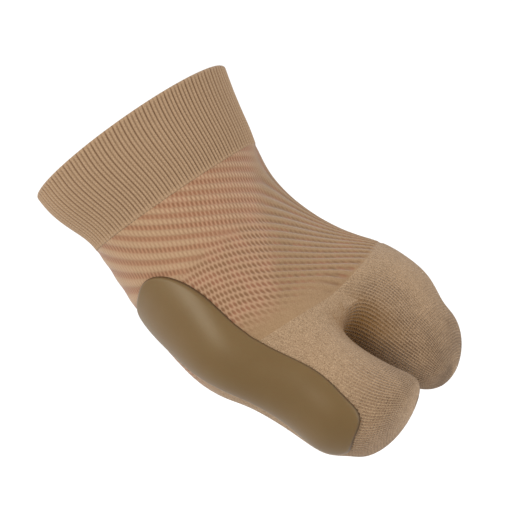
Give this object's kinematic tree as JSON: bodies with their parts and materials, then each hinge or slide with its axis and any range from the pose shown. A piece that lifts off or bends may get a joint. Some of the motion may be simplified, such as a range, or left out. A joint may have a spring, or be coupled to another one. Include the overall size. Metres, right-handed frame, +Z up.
{
  "type": "bunion sleeve",
  "caption": "Knitted forefoot compression sleeve with ribbed cuff, split closed toe and a gel pad over the big toe joint, in worn form for a left foot.",
  "frame": {"origin": "centre of the cuff's mouth, where the foot goes in", "axes": "+X along the foot to the toes, -Y to the side of the big toe, +Z up from the back of the foot"},
  "size_m": [0.15, 0.0979, 0.0713],
  "materials": {
    "rib_knit": "matte",
    "stripe_knit": "matte",
    "plain_knit": "matte",
    "pad_gel": "satin"
  },
  "bodies": {
    "root": {"ribbed_cuff": "rib_knit", "forefoot_sleeve": "stripe_knit", "big_toe_pocket": "plain_knit", "small_toes_pocket": "plain_knit", "bunion_pad": "pad_gel"}
  },
  "joints": []
}
